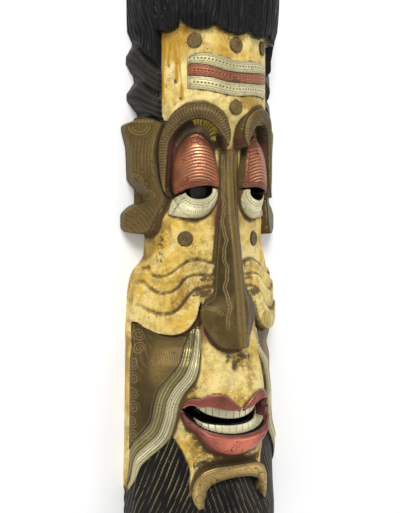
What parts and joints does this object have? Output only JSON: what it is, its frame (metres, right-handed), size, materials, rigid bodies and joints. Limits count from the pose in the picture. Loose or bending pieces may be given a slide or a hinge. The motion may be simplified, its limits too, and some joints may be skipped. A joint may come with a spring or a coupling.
{
  "type": "wooden mask",
  "caption": "Tall carved and painted wooden face mask of a bearded old man, hollowed behind and clad with nailed brass, copper and white metal sheet.",
  "frame": {"origin": "middle of the flat back rim, on the surface that the mask lies on", "axes": "+Z out of the face, +Y from the beard to the hair, +X across the face"},
  "size_m": [0.2688, 1, 0.1308],
  "materials": {
    "painted_wood": "yellow and black paint, worn and stained",
    "aged_brass_sheet": "chased sheet brass with a dark brown patina",
    "bright_brass_sheet": "chased sheet brass, less darkened",
    "copper_sheet": "chased and burnished copper sheet",
    "white_metal_sheet": "chased pale sheet metal with dark punched lines"
  },
  "bodies": {
    "root": {"carved_wood": "painted_wood", "brow_left": "aged_brass_sheet", "brow_right": "aged_brass_sheet", "upper_eyelid_left": "copper_sheet", "upper_eyelid_right": "copper_sheet", "lower_eyelid_left": "white_metal_sheet", "lower_eyelid_right": "white_metal_sheet", "nose": "aged_brass_sheet", "ear_left": "aged_brass_sheet", "ear_right": "aged_brass_sheet", "forehead_band_upper": "white_metal_sheet", "forehead_band_middle": "copper_sheet", "forehead_band_lower": "white_metal_sheet", "forehead_roundel_left": "aged_brass_sheet", "forehead_roundel_middle": "aged_brass_sheet", "forehead_roundel_right": "aged_brass_sheet", "brow_roundel": "aged_brass_sheet", "cheek_roundel_left": "aged_brass_sheet", "cheek_roundel_right": "aged_brass_sheet", "cheek_panel_left": "aged_brass_sheet", "cheek_panel_right": "aged_brass_sheet", "moustache_inner_left": "white_metal_sheet", "moustache_inner_right": "white_metal_sheet", "moustache_outer_left": "bright_brass_sheet", "moustache_outer_right": "bright_brass_sheet", "upper_lip": "copper_sheet", "lower_lip": "copper_sheet", "upper_teeth": "white_metal_sheet", "lower_teeth": "white_metal_sheet", "chin_crescent": "bright_brass_sheet"}
  },
  "joints": []
}
